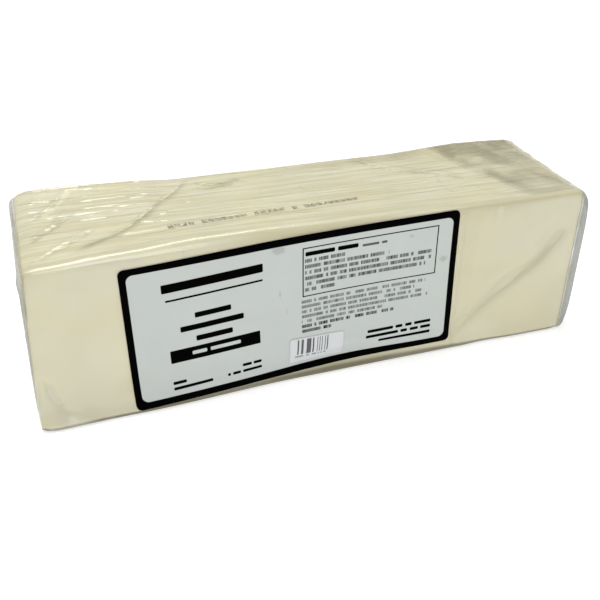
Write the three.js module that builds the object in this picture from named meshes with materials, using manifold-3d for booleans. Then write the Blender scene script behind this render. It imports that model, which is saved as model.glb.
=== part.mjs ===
// A shut pack of sliced cheese: four stacks of forty white slices, pressed into one long loaf
// and wrapped tight in clear film, standing on its long edge with a printed label on the front.
// The film is seen through but holds the slices shut in, so bag and slices are one solid.
// Its top carries the edges of the slices as ridges, and its film folds as raised flaps.
//
// Millimetres. +X runs along the loaf, +Y goes from the label to the back, +Z is up.
// The origin is at the bottom centre of the pack.
import * as THREE from "three";
import { mergeVertices } from "three/addons/utils/BufferGeometryUtils.js";
import Module from "manifold-3d";

const wasm = await Module();
wasm.setup();

// Driving dimensions of the slices and the loaf that they make
const STACKS = 4;
const SLICES_PER_STACK = 40;
const SLICE_WIDTH = 72.1;
const SLICE_HEIGHT = 88;
const SLICE_THICKNESS = 2.03;
const LOAF_LENGTH = STACKS * SLICE_WIDTH;
const LOAF_DEPTH = SLICES_PER_STACK * SLICE_THICKNESS;

// Edges of the slices on the top, and the joints between the stacks
const VALLEY_DEPTH = 0.55;
const CREST_SPREAD = 0.35;
const WANDER = 0.16;
const JOINT_DEPTH = 0.35;
const JOINT_HALF_WIDTH = 1.3;
const STEPS_PER_STACK = 5;
const CORNER_STEPS = 3;

// Film: how it rounds the loaf's long edges and stands off its ends
const TOP_RADIUS = 4;
const BOTTOM_RADIUS = 2;
const LEFT_STANDOFF = 3.2;
const RIGHT_STANDOFF = 6.6;
const END_RADIUS = 7;
const END_SHARPNESS = 0.25;
const FOOT_BULGE = 6;
const FILM_FOLD = 0.9;
const FOLD_ROOT = 2.2;
const CREASE_WIDTH = 3.2;
const CREASE_HEIGHT = 0.9;

// The block of slices in the pack, whose origin is at the middle of the film's outer size
const LEFT_END = (LEFT_STANDOFF - RIGHT_STANDOFF - LOAF_LENGTH) / 2;
const RIGHT_END = LEFT_END + LOAF_LENGTH;
const FRONT = (FOOT_BULGE - LOAF_DEPTH) / 2;
const BACK = FRONT + LOAF_DEPTH;

// Label, its printed fields and the small sticker on it
const LABEL_WIDTH = 173.3;
const LABEL_HEIGHT = 79.2;
const LABEL_FROM_LEFT = 42.9;
const LABEL_FROM_BOTTOM = 2.4;
const LABEL_TILT = THREE.MathUtils.degToRad(1.6);
const LABEL_THICKNESS = 0.2;
const SKIN_GAP = 0.25;
const INK_THICKNESS = 0.15;
const LABEL_CORNER = 2;
const BORDER_WIDTH = 3.4;
const BORDER_INNER_CORNER = 3.4;
const BAR = { left: 19.8, bottom: 22.3, width: 46.1, height: 7.5, turn: 0 };
const STICKER = { left: 81.2, bottom: 4.4, width: 30.2, height: 15.7, turn: THREE.MathUtils.degToRad(-2.1) };

const clamp = THREE.MathUtils.clamp;
const lerp = THREE.MathUtils.lerp;
const hump = (x, centre, reach) => Math.exp(-(((x - centre) / reach) ** 2));

// Repeatable random numbers from 0 to 1.
function randomSource(seed) {
  let state = seed;
  return () => {
    state = (state * 1664525 + 1013904223) % 4294967296;
    return state / 4294967296;
  };
}

// A smooth line through a few points of height by distance from the left end of the loaf.
function contour(points) {
  return (fromLeft) => {
    const next = points.findIndex(([x]) => x >= fromLeft);
    if (next === 0) return points[0][1];
    if (next < 0) return points.at(-1)[1];
    const [[x0, h0], [x1, h1]] = [points[next - 1], points[next]];
    return lerp(h0, h1, THREE.MathUtils.smoothstep(fromLeft, x0, x1));
  };
}

// How far the loaf departs from a straight block: its top rises along the front and back edges,
// and its foot bulges out at the front, most of all at the left end.
const frontEdge = contour([[0, -2], [45, 0.2], [80, 2.2], [108, 2.3], [150, 1.3], [236, 0.2], [288, 0]]);
const backEdge = contour([[0, 3.4], [22, 3.7], [52, 2.6], [84, 0.7], [190, 0.8], [202, 0.5], [250, 2.3], [288, 1.4]]);
const foot = contour([[0, FOOT_BULGE + 0.6], [40, 5.3], [132, 1.1], [200, 0.3], [225, 0], [240, -0.8], [262, 0]]);

// The loaf has settled a little out of true. This moves a point of the straight loaf to its real
// place. The middle of the front is hollow, with a deeper dip over its foot, and the left end leans.
function settle(point) {
  const [x, y, z] = point;
  const fromLeft = x - LEFT_END;
  const back = clamp((y - FRONT) / LOAF_DEPTH, 0, 1);
  const up = clamp(z / SLICE_HEIGHT, 0, 1);
  const middle = Math.cos((Math.PI / 2) * clamp((fromLeft - 155) / 92, -1, 1)) ** 2;
  const hollow = 2 * middle * Math.sin(Math.PI * up) + 3.8 * hump(fromLeft, 152, 40) * hump(z, 9, 5);
  const bulge = foot(fromLeft) * Math.max(0, 1 - z / 22) ** 2;
  const rise = (1 - back) ** 2 * frontEdge(fromLeft) + back ** 2 * backEdge(fromLeft);
  const lean = 1.3 * (2 * up - 1) * Math.max(0, 1 - fromLeft / 60) ** 2;
  point[0] = x + lean;
  point[1] = y + (1 - back) ** 2 * (hollow - bulge);
  point[2] = z + clamp((z - 76) / 12, 0, 1) ** 2 * rise;
}

// A closed solid from corner points and triangles, with its faces turned outwards.
function solidOf(points, triangles) {
  let volume = 0;
  for (const [a, b, c] of triangles) {
    volume += points[a].dot(new THREE.Vector3().crossVectors(points[b], points[c]));
  }
  const faces = volume < 0 ? triangles.map(([a, b, c]) => [a, c, b]) : triangles;
  return new wasm.Manifold(
    new wasm.Mesh({
      numProp: 3,
      vertProperties: new Float32Array(points.flatMap((p) => [p.x, p.y, p.z])),
      triVerts: new Uint32Array(faces.flat()),
    }),
  );
}

// A three.js geometry as a solid: only its positions count.
function solidOfGeometry(geometry) {
  const bare = geometry.clone();
  bare.deleteAttribute("normal");
  bare.deleteAttribute("uv");
  const merged = mergeVertices(bare);
  return new wasm.Manifold(
    new wasm.Mesh({
      numProp: 3,
      vertProperties: merged.attributes.position.array,
      triVerts: new Uint32Array(merged.index.array),
    }),
  );
}

// A solid as a three.js geometry with a flat face for each triangle.
function geometryOf(solid) {
  const mesh = solid.getMesh();
  const positions = [];
  for (let i = 0; i < mesh.vertProperties.length; i += mesh.numProp) {
    positions.push(...mesh.vertProperties.subarray(i, i + 3));
  }
  const geometry = new THREE.BufferGeometry();
  geometry.setAttribute("position", new THREE.Float32BufferAttribute(positions, 3));
  geometry.setIndex(new THREE.BufferAttribute(new Uint32Array(mesh.triVerts), 1));
  const faceted = geometry.toNonIndexed();
  faceted.computeVertexNormals();
  return faceted;
}

// A thin closed sheet between an outer and an inner face, each given as a function of u and v from 0 to 1.
function sheet(columns, rows, outer, inner) {
  const points = [];
  const triangles = [];
  const at = (side, i, j) => side * (columns + 1) * (rows + 1) + j * (columns + 1) + i;
  const quad = (a, b, c, d) => triangles.push([a, b, c], [a, c, d]);
  for (const face of [outer, inner]) {
    for (let j = 0; j <= rows; j++) {
      for (let i = 0; i <= columns; i++) points.push(face(i / columns, j / rows));
    }
  }
  for (let j = 0; j < rows; j++) {
    for (let i = 0; i < columns; i++) {
      quad(at(0, i, j), at(0, i + 1, j), at(0, i + 1, j + 1), at(0, i, j + 1));
      quad(at(1, i, j), at(1, i, j + 1), at(1, i + 1, j + 1), at(1, i + 1, j));
    }
    quad(at(0, 0, j), at(0, 0, j + 1), at(1, 0, j + 1), at(1, 0, j));
    quad(at(0, columns, j), at(1, columns, j), at(1, columns, j + 1), at(0, columns, j + 1));
  }
  for (let i = 0; i < columns; i++) {
    quad(at(0, i, 0), at(1, i, 0), at(1, i + 1, 0), at(0, i + 1, 0));
    quad(at(0, i, rows), at(0, i + 1, rows), at(1, i + 1, rows), at(1, i, rows));
  }
  return solidOf(points, triangles);
}

// Random height and depth of each slice's edge, and where along the loaf it wanders.
const random = randomSource(160);
const sliceEdges = Array.from({ length: SLICES_PER_STACK + 1 }, () => ({
  crest: CREST_SPREAD * (random() - 0.5),
  valley: VALLEY_DEPTH * (0.45 + 0.9 * random()),
  phase: 2 * Math.PI * random(),
  waves: 1.2 + 2 * random(),
}));

// Height of the film above the straight top: a crest at the middle of each slice, a valley between two.
function sliceRelief(halfSlices, fromLeft) {
  const edge = sliceEdges[Math.floor(halfSlices / 2)];
  const wander = WANDER * Math.sin((2 * Math.PI * edge.waves * fromLeft) / LOAF_LENGTH + edge.phase);
  return (halfSlices % 2 === 1 ? edge.crest : -edge.valley) + wander;
}

const sectionPoint = (y, z, outY, outZ, halfSlices = 0) => ({ y, z, outY, outZ, halfSlices });

// A rounded corner of the cross-section: a quarter turn about (y, z).
function corner(y, z, radius, startDeg) {
  return Array.from({ length: CORNER_STEPS + 1 }, (_, i) => {
    const a = THREE.MathUtils.degToRad(startDeg + (90 * i) / CORNER_STEPS);
    return sectionPoint(y + radius * Math.cos(a), z + radius * Math.sin(a), Math.cos(a), Math.sin(a));
  });
}

// The points inside a straight run of the cross-section, without its two ends.
function run(count, place) {
  return Array.from({ length: count - 1 }, (_, i) => sectionPoint(...place((i + 1) / count)));
}

// The front of the cross-section with its two rounded edges, from the top down to the bottom.
function frontProfile() {
  const [low, high] = [BOTTOM_RADIUS, SLICE_HEIGHT - TOP_RADIUS];
  return [
    ...corner(FRONT + TOP_RADIUS, high, TOP_RADIUS, 90),
    ...run(11, (t) => [FRONT, lerp(low, high, (1 - t) ** 1.6), -1, 0]),
    ...corner(FRONT + low, low, low, 180),
  ];
}

// The whole cross-section as points with the way out at each, seen from the right-hand end:
// down the front, under the loaf, up the back, and over the edges of the slices.
function crossSection() {
  const [low, high] = [BOTTOM_RADIUS, SLICE_HEIGHT - TOP_RADIUS];
  const roundedOff = Math.ceil((2 * TOP_RADIUS) / SLICE_THICKNESS);
  const slices = [];
  for (let k = 2 * SLICES_PER_STACK - roundedOff - 1; k > roundedOff; k--) {
    slices.push(sectionPoint(FRONT + (k * SLICE_THICKNESS) / 2, SLICE_HEIGHT, 0, 1, k));
  }
  return [
    ...frontProfile(),
    ...run(4, (t) => [lerp(FRONT + low, BACK - low, t), 0, 0, -1]),
    ...corner(BACK - low, low, low, 270),
    ...run(5, (t) => [BACK, lerp(low, high, t), 1, 0]),
    ...corner(BACK - TOP_RADIUS, high, TOP_RADIUS, 0),
    ...slices,
  ];
}

// Places along the loaf where the cross-section is set out: how far the film is drawn in there,
// how much of the slices shows through, and how far the end faces close towards their middle.
function stations() {
  const list = [];
  const add = (x, inset = 0, grip = 1, close = 0, joint = 0) => list.push({ x, inset, grip, close, joint });
  const end = (side, edge, standoff) => {
    const steps = [30, 60, 90].map((deg) => {
      const a = THREE.MathUtils.degToRad(deg);
      const x = edge + side * ((END_RADIUS + standoff) * Math.sin(a) - END_RADIUS);
      return { x, inset: END_RADIUS * (1 - Math.cos(a)), grip: 0.7 * Math.cos(a), close: 0, joint: 0 };
    });
    const last = steps[2];
    steps.push({ ...last, x: last.x + side * 0.4, close: 0.5 });
    return steps;
  };
  list.push(...end(-1, LEFT_END, LEFT_STANDOFF).reverse());
  for (let stack = 0; stack < STACKS; stack++) {
    const start = LEFT_END + stack * SLICE_WIDTH;
    if (stack > 0) add(start, 0, 1, 0, JOINT_DEPTH);
    const from = start + (stack > 0 ? JOINT_HALF_WIDTH : END_RADIUS);
    const to = start + SLICE_WIDTH - (stack < STACKS - 1 ? JOINT_HALF_WIDTH : END_RADIUS);
    for (let i = 0; i <= STEPS_PER_STACK; i++) add(lerp(from, to, i / STEPS_PER_STACK));
  }
  list.push(...end(1, RIGHT_END, RIGHT_STANDOFF));
  return list;
}

// Film drawn tight over the four stacks, lofted from the cross-section.
function wrappedLoaf() {
  const section = crossSection();
  const rings = stations();
  const [middleY, middleZ] = [(FRONT + BACK) / 2, SLICE_HEIGHT / 2];
  const points = [];
  const triangles = [];
  for (const ring of rings) {
    for (const p of section) {
      const relief = p.halfSlices ? ring.grip * sliceRelief(p.halfSlices, ring.x - LEFT_END) : 0;
      const out = relief - (p.outZ < -0.5 ? 0 : ring.joint);
      const y = p.y + p.outY * (out - END_SHARPNESS * ring.inset);
      const z = p.z + p.outZ * (out - ring.inset);
      points.push(new THREE.Vector3(ring.x, lerp(y, middleY, ring.close), lerp(z, middleZ, ring.close)));
    }
  }
  const around = section.length;
  for (let r = 0; r + 1 < rings.length; r++) {
    for (let k = 0; k < around; k++) {
      const next = (k + 1) % around;
      const [a, b] = [r * around + k, r * around + next];
      const [c, d] = [(r + 1) * around + next, (r + 1) * around + k];
      triangles.push([a, b, c], [a, c, d]);
    }
  }
  for (const [ring, flip] of [[0, true], [rings.length - 1, false]]) {
    const hub = points.length;
    points.push(new THREE.Vector3(rings[ring].x, middleY, middleZ));
    for (let k = 0; k < around; k++) {
      const [a, b] = [ring * around + k, ring * around + ((k + 1) % around)];
      triangles.push(flip ? [hub, b, a] : [hub, a, b]);
    }
  }
  return solidOf(points, triangles);
}

// Film of an end folded up and laid over the top, between two edges that are functions of the depth.
function topFlap(leftEdge, rightEdge, from, to) {
  const surface = (lift) => (u, v) => {
    const y = FRONT + lerp(from, to, v);
    const x = LEFT_END + lerp(leftEdge(v), rightEdge(v), u);
    const ripple = lift > 0 ? 0.25 * Math.sin(9 * v + 4 * u) * Math.sin(Math.PI * v) : 0;
    return new THREE.Vector3(x, y, SLICE_HEIGHT + lift + ripple);
  };
  return sheet(7, 12, surface(FILM_FOLD), surface(-FOLD_ROOT));
}

// The same film where it goes over an end face, wide at the bottom and narrower at the top.
function endFlap(side, face, halfTop, halfBottom) {
  const surface = (lift) => (u, v) => {
    const y = (FRONT + BACK) / 2 + lerp(-1, 1, u) * lerp(halfBottom, halfTop, v);
    return new THREE.Vector3(face + side * lift, y, lerp(6, SLICE_HEIGHT - 6, v));
  };
  return sheet(4, 6, surface(FILM_FOLD * 0.7), surface(-FOLD_ROOT));
}

// The seal of an end: a flat band across the folded film.
function endSeal(side, face, halfWidth, height, bandHeight) {
  const surface = (lift) => (u, v) => {
    const y = (FRONT + BACK) / 2 + lerp(-halfWidth, halfWidth, u);
    return new THREE.Vector3(face + side * lift, y, height + bandHeight * v);
  };
  return sheet(2, 1, surface(FILM_FOLD * 1.5), surface(-FOLD_ROOT));
}

// A crease that stands up along a line over the top (x, y) or over the front (x, z), from the left end.
function crease(face, line, width = CREASE_WIDTH, height = CREASE_HEIGHT) {
  const curve = new THREE.CatmullRomCurve3(line.map(([a, b]) => new THREE.Vector3(a, b, 0)));
  const place = (a, b, out) =>
    face === "top"
      ? new THREE.Vector3(LEFT_END + a, FRONT + b, SLICE_HEIGHT + out)
      : new THREE.Vector3(LEFT_END + a, FRONT - out, b);
  const surface = (profile) => (u, v) => {
    const at = curve.getPointAt(u);
    const along = curve.getTangentAt(u);
    const across = width * (v - 0.5);
    return place(at.x - along.y * across, at.y + along.x * across, profile(u, v));
  };
  const ridge = (u, v) => (v === 0.5 ? height * Math.sin(Math.PI * clamp(u, 0.04, 0.96)) : -0.3);
  return sheet(12, 2, surface(ridge), surface(() => -FOLD_ROOT));
}

// Right end: the film is folded square, left end: it is folded askew, from the near corner to the back edge.
function foldedFilm() {
  const squareEdge = (v) => 238.5 + 1.2 * Math.sin(Math.PI * v);
  const askewEdge = (v) => 2 + 92 * v ** 0.72 * (0.75 + 0.25 * v);
  return [
    topFlap(squareEdge, () => LOAF_LENGTH - 3, 3, 78),
    topFlap(() => 1, askewEdge, 6, 78),
    endFlap(1, RIGHT_END + RIGHT_STANDOFF, 34, 37),
    endFlap(-1, LEFT_END - LEFT_STANDOFF, 30, 37),
    endSeal(1, RIGHT_END + RIGHT_STANDOFF, 33, 40, 8),
    endSeal(-1, LEFT_END - LEFT_STANDOFF, 31, 38, 8),
    crease("top", [[3, 52], [12, 58], [24, 73], [30, 78]]),
    crease("top", [[190, 77], [202, 63], [221, 49], [236, 30]]),
    crease("front", [[221, 4], [236, 15], [252, 32], [269, 46], [283, 60]], 6, 0.7),
    crease("front", [[3, 34], [4.5, 20], [9, 9], [17, 3]], 4, 0.7),
  ];
}

// A thin skin over the whole front, from one height above the film to another. It has the same
// corner points as the film, so that the gap between them stays even, and it spans the stack joints.
function frontSkin(bottom, top) {
  const places = stations()
    .map((ring) => ring.x)
    .filter((x) => x > LEFT_END + 20 && x < LEFT_END + 240);
  const profile = frontProfile();
  const face = (lift) => (u, v) => {
    const p = profile[Math.round(v * (profile.length - 1))];
    const x = places[Math.round(u * (places.length - 1))];
    return new THREE.Vector3(x, p.y + p.outY * lift, p.z + p.outZ * lift);
  };
  return sheet(places.length - 1, profile.length - 1, face(top), face(bottom)).warp(settle);
}

// The outline of a field of the label, with enough points on its sides to bend with the front.
function roundedRectangle(left, bottom, width, height, radius) {
  const [right, top] = [left + width - radius, bottom + height - radius];
  const turns = [
    [right, top, height - 2 * radius],
    [left + radius, top, width - 2 * radius],
    [left + radius, bottom + radius, height - 2 * radius],
    [right, bottom + radius, width - 2 * radius],
  ];
  const outline = [];
  turns.forEach(([x, y], quarter) => {
    for (let i = 0; i <= 3; i++) {
      const a = (Math.PI / 2) * (quarter + i / 3);
      outline.push(new THREE.Vector2(x + radius * Math.cos(a), y + radius * Math.sin(a)));
    }
    const side = turns[(quarter + 1) % 4][2];
    const [from, ahead] = [outline.at(-1), (Math.PI / 2) * (quarter + 2)];
    const steps = Math.ceil(side / 12);
    for (let i = 1; i < steps; i++) {
      const far = (side * i) / steps;
      outline.push(new THREE.Vector2(from.x + far * Math.cos(ahead), from.y + far * Math.sin(ahead)));
    }
  });
  return new THREE.Shape(outline);
}

// A cutter that stands square to the label, for an outline drawn on it.
function labelCutter(shape) {
  const reach = 12;
  const geometry = new THREE.ExtrudeGeometry(shape, {
    depth: 2 * reach,
    bevelEnabled: false,
  });
  geometry.translate(0, 0, -reach);
  geometry.rotateX(Math.PI / 2);
  geometry.rotateY(-LABEL_TILT);
  geometry.translate(LEFT_END + LABEL_FROM_LEFT, FRONT, LABEL_FROM_BOTTOM);
  return solidOfGeometry(geometry).warp(settle);
}

const LABEL_TOP = SKIN_GAP + LABEL_THICKNESS;
const INK_BOTTOM = LABEL_TOP + SKIN_GAP;
const INK_TOP = INK_BOTTOM + INK_THICKNESS;

function labelSheet() {
  const outline = roundedRectangle(0, 0, LABEL_WIDTH, LABEL_HEIGHT, LABEL_CORNER);
  return frontSkin(SKIN_GAP, LABEL_TOP).intersect(labelCutter(outline));
}

function labelBorder() {
  const outer = roundedRectangle(0, 0, LABEL_WIDTH, LABEL_HEIGHT, LABEL_CORNER);
  const inner = roundedRectangle(
    BORDER_WIDTH,
    BORDER_WIDTH,
    LABEL_WIDTH - 2 * BORDER_WIDTH,
    LABEL_HEIGHT - 2 * BORDER_WIDTH,
    BORDER_INNER_CORNER,
  );
  return frontSkin(INK_BOTTOM, INK_TOP).intersect(labelCutter(outer)).subtract(labelCutter(inner));
}

// A plain field printed or stuck on the label, turned a little about its middle.
function labelField({ left, bottom, width, height, turn }) {
  const middle = new THREE.Vector2(left + width / 2, bottom + height / 2);
  const corners = roundedRectangle(left, bottom, width, height, 0.5).getPoints();
  const outline = new THREE.Shape(corners.map((corner) => corner.rotateAround(middle, turn)));
  return frontSkin(INK_BOTTOM, INK_TOP).intersect(labelCutter(outline));
}

const CHEESE = new THREE.MeshStandardMaterial({ color: 0xe9e4c6, roughness: 0.35, metalness: 0 });
const LABEL_PAPER = new THREE.MeshStandardMaterial({ color: 0xd3d6d4, roughness: 0.45, metalness: 0 });
const BLACK_INK = new THREE.MeshStandardMaterial({ color: 0x0b0b0b, roughness: 0.4, metalness: 0 });
const WHITE_PAPER = new THREE.MeshStandardMaterial({ color: 0xe6e7ea, roughness: 0.5, metalness: 0 });

function named(name, solid, material) {
  const mesh = new THREE.Mesh(geometryOf(solid), material);
  mesh.name = name;
  return mesh;
}

const sealedPack = foldedFilm()
  .reduce((whole, fold) => whole.add(fold), wrappedLoaf())
  .warp(settle)
  .simplify(0.002);

const pack = new THREE.Group();
pack.add(named("sealed_pack", sealedPack, CHEESE));
pack.add(named("label", labelSheet(), LABEL_PAPER));
pack.add(named("label_border", labelBorder(), BLACK_INK));
pack.add(named("label_bar", labelField(BAR), BLACK_INK));
pack.add(named("barcode_sticker", labelField(STICKER), WHITE_PAPER));

export default pack;
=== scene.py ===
import math

import bpy
import numpy as np
from mathutils import Matrix, Vector
from mathutils.bvhtree import BVHTree


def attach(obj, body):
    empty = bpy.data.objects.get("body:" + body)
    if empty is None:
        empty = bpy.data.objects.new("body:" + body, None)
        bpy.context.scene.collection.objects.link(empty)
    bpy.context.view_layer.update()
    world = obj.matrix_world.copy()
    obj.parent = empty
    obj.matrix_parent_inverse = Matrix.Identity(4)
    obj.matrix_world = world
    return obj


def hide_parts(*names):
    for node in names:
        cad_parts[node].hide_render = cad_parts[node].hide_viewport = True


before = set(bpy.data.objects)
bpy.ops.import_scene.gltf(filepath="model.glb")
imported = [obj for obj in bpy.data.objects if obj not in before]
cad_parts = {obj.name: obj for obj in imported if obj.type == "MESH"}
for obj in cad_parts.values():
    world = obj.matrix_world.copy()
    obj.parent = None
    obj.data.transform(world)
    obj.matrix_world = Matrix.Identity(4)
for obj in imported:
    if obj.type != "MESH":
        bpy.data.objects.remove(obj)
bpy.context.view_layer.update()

# Sizes of the slices, the loaf and the film around it, close to those of the solids
STACKS = 4
SLICES_PER_STACK = 40
SLICE_WIDTH = 72.1
SLICE_HEIGHT = 88.0
SLICE_THICKNESS = 2.03
SLICE_TOP = SLICE_HEIGHT - 0.5
LOAF_LENGTH = STACKS * SLICE_WIDTH
LOAF_DEPTH = SLICES_PER_STACK * SLICE_THICKNESS
FOOT_BULGE = 6.0
LEFT_STANDOFF = 3.2
RIGHT_STANDOFF = 6.6
TOP_RADIUS = 4.0
BOTTOM_RADIUS = 1.2
END_RADIUS = 7.0
END_SHARPNESS = 0.25
LOAF_ORIGIN = np.array([
    (LEFT_STANDOFF - RIGHT_STANDOFF - LOAF_LENGTH) / 2,
    (FOOT_BULGE - LOAF_DEPTH) / 2,
    0.0,
])
METRES = 0.001

# Label and sticker, and the label's smudges: place, half width, half height and depth
LABEL_WIDTH = 173.3
LABEL_HEIGHT = 79.2
LABEL_CORNER = 2.8
LABEL_FROM_LEFT = 42.9
LABEL_FROM_BOTTOM = 2.45
LABEL_STRETCH = 1.0065
LABEL_TILT = math.radians(1.6)
LABEL_THICKNESS = 0.12
LABEL_SAG = 1.6
BORDER_WIDTH = 3.4
BORDER_INNER_CORNER = 3.4
STICKER_LEFT = 81.2
STICKER_BOTTOM = 4.4
STICKER_WIDTH = 30.2
STICKER_HEIGHT = 15.7
STICKER_TURN = math.radians(-2.1)
LABEL_SMUDGES = (
    (76.8, 74.0, 4.2, 2.6, 0.5), (166.2, 52.5, 2.4, 2.2, 0.5), (146.8, 69.0, 1.6, 1.4, 0.3),
    (77.0, 49.0, 0.8, 2.2, 0.35), (80.5, 38.0, 0.7, 3.0, 0.2),
)

# Dots of the ink code on the film over the top: the first and last place, the length, the pitch
# of the dots, and how many make a block
CODE_START = (68.4, 18.8)
CODE_END = (168.7, 24.5)
CODE_LENGTH = 100.5
CODE_PITCH = 0.56
CODE_BLOCK = 6

# Ends and last joint of straight stacks along the loaf, and where the film presses them to
STACK_ENDS = (0.0, 3 * SLICE_WIDTH, LOAF_LENGTH)
PRESSED_ENDS = (-2.4, 219.3, LOAF_LENGTH + 0.6)
LAST_JOINT = PRESSED_ENDS[1]

# Film: its gap from the slices, its steps, and how much of what the ends are drawn in along the
# loaf they are drawn in at the foot and at the top, left and right
FILM_CLEARANCE = 0.18
FILM_THICKNESS = 0.06
TOP_STEP = 0.51
LENGTH_STEP = 1.25
FOOT_SHARES = (0.3, 0.6)
TOP_SHARES = (0.6, 1.0)
FILM_TOP_SHARES = (0.6, 1.2)

# How far the corners of the film's ends are drawn in along the loaf, and how loose the left end is
LEFT_CORNER = 1.2
RIGHT_FOOT_CORNER = 4.2
RIGHT_TOP_CORNER = 3.0
LOOSE_UPWARD = 1.0
LOOSE_TOP = 1.2

# How cloudy the film is, from clear at 0 to milky at 1
BODY_HAZE = 0.04
END_HAZE = 0.16
LEFT_RIM_HAZE = 0.6
RIGHT_RIM_HAZE = 0.3
RIGHT_FRONT_RIM_HAZE = 0.8
# Painted shade: how much darker and cloudier the film is made in a strip along the back edge of the
# top
BACK_EDGE_SHADE = 0.25
FLAP_HAZE = 0.13
SEAL_HAZE = 0.18
END_FLAP_HAZE = 0.12

# Lamps: place in metres, width, height and power. The camera was fitted to the photo: its place
# in millimetres from the pack's middle, its angles, and its focal length in pixels of the photo.
LAMPS = {
    "overhead": ((-0.15, 0.2, 1.1), 0.9, 0.55, 10.3),
    "front_left": ((-0.15, -1.45, 0.9), 0.8, 0.8, 7.6),
}
WORLD_STRENGTH = 0.385
CAMERA_AT = (-135.425, -375.769, 266.070)
CAMERA_AZIMUTH = 0.336188208
CAMERA_ELEVATION = 0.544716316
CAMERA_ROLL = 0.0154579295
FOCAL_PIXELS = 833.068649
PHOTO_PIXELS = 600
SENSOR_WIDTH = 36
LENS = SENSOR_WIDTH * FOCAL_PIXELS / PHOTO_PIXELS


def smoothstep(t):
    t = np.clip(t, 0, 1)
    return t * t * (3 - 2 * t)


def hump(x, centre, reach):
    return np.exp(-(((x - centre) / reach) ** 2))


def contour(points):
    """A smooth line through a few points of height by distance from the left end."""
    places, heights = np.array(points, float).T

    def height(x):
        i = np.clip(np.searchsorted(places, x) - 1, 0, len(places) - 2)
        t = (x - places[i]) / (places[i + 1] - places[i])
        return heights[i] + (heights[i + 1] - heights[i]) * smoothstep(t)

    return height


# How far the loaf departs from a straight block, close to the solids
front_edge = contour([(0, -2), (45, 0.2), (80, 2.2), (108, 2.3), (150, 1.3), (236, 0.2), (288, 0)])
back_edge = contour([
    (0, 4.2), (22, 4.5), (52, 3.3), (84, 0.9), (190, 0.8), (202, 0.7), (250, 3.0), (288, 2.0),
])
foot = contour([
    (0, FOOT_BULGE + 0.6), (40, 5.3), (132, 1.1), (200, 0.3), (225, 0), (240, -0.8), (262, 0),
])


def settle(points):
    """Moves points of the straight loaf to where they are in the settled one."""
    x, y, z = np.asarray(points, float).T
    back = np.clip(y / LOAF_DEPTH, 0, 1)
    up = np.clip(z / SLICE_HEIGHT, 0, 1)
    middle = np.cos(math.pi / 2 * np.clip((x - 155) / 92, -1, 1)) ** 2
    hollow = 2 * middle * np.sin(math.pi * up) + 3.8 * hump(x, 152, 40) * hump(z, 9, 5)
    bulge = foot(x) * np.maximum(0, 1 - z / 22) ** 2
    rise = (1 - back) ** 2 * front_edge(x) + back**2 * back_edge(x)
    lean = 1.3 * (2 * up - 1) * np.maximum(0, 1 - x / 60) ** 2
    return np.column_stack([
        x + lean,
        y + (1 - back) ** 2 * (hollow - bulge),
        z + np.clip((z - 76) / 12, 0, 1) ** 2 * rise,
    ])


def beside_line(a, b, line):
    """Distance of (a, b) from a bent line, with a sign for the side, and how far along it."""
    line = np.array(line, float)
    lengths = np.hypot(*np.diff(line, axis=0).T)
    starts = np.concatenate([[0], np.cumsum(lengths)])
    nearest = np.full(np.shape(a), np.inf)
    signed = np.zeros(np.shape(a))
    along = np.zeros(np.shape(a))
    for (p, q, length, start) in zip(line, line[1:], lengths, starts):
        da, db = (q - p) / length
        t = np.clip((a - p[0]) * da + (b - p[1]) * db, 0, length)
        away = np.hypot(a - p[0] - t * da, b - p[1] - t * db)
        side = np.sign(da * (b - p[1]) - db * (a - p[0]))
        closer = away < nearest
        nearest = np.where(closer, away, nearest)
        signed = np.where(closer, away * side, signed)
        along = np.where(closer, (start + t) / starts[-1], along)
    return signed, along


def creased(a, b, line, width, steep_width, depth, fade=0.15):
    """A valley along a line with one gentle side and one steep side."""
    away, along = beside_line(a, b, line)
    ends = smoothstep(along / fade) * smoothstep((1 - along) / fade)
    return depth * np.exp(-((away / np.where(away < 0, width, steep_width)) ** 2)) * ends


def fold(a, b, line, width, height, fade=0.15):
    """A soft ridge, or with a negative height a valley, along a line."""
    return creased(a, b, line, width, width, height, fade)


def ripples(a, b, seed, waves, short, long):
    """A smooth random relief between -1 and 1, from waves in all directions."""
    chance = np.random.default_rng(seed)
    height = np.zeros(np.broadcast(a, b).shape)
    for _ in range(waves):
        length = chance.uniform(short, long)
        turn, phase = chance.uniform(0, 2 * math.pi, 2)
        height += np.sin(2 * math.pi * (a * math.cos(turn) + b * math.sin(turn)) / length + phase)
    return height / math.sqrt(waves)


# Radius of the loaf's front top edge, and how deep the strip behind it is that shows no slices
edge_radius = contour([
    (0, 3.2), (45, 4.2), (75, 5), (110, 5), (150, 4.5), (200, 3), (236, 2.5), (288, 2.5),
])
smooth_strip = contour([
    (0, -3), (15, 0), (33, 6), (60, 9), (95, 12), (140, 12), (155, 19), (210, 18), (236, 8), (262, 2),
])

# Creases and soft folds of the front, which both the slices and the film over them take. The
# folds have a width, a depth and the share of their length over which they fade.
RIGHT_FRONT_CREASE = [
    (285, 70), (279, 62), (267.6, 49), (253.6, 39), (243.4, 32), (232, 22), (223, 13), (217, 6),
]
LEFT_FRONT_CREASE = [(17, 3), (10.4, 6.6), (4.5, 15.4), (0.2, 30)]
FRONT_FOLDS = (
    ([(287, 54), (273, 43), (257, 30), (242, 14)], 6.0, -0.5, 0.15),
    ([(227, 84), (224, 62), (222, 42)], 2.2, 0.3, 0.15),
    ([(236, 84), (235, 66), (231, 50)], 2.0, 0.25, 0.15),
    ([(238.5, 90), (238.5, 76)], 0.9, -0.5, 0.15),
    ([(20, 3), (23, 14), (29, 25), (33, 36)], 2.4, 0.4, 0.15),
    ([(13, 2), (15, 12), (21, 24)], 2.0, 0.3, 0.15),
    ([(LAST_JOINT, 2), (LAST_JOINT, 86)], 1.2, 0.8, 0.05),
)


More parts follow.
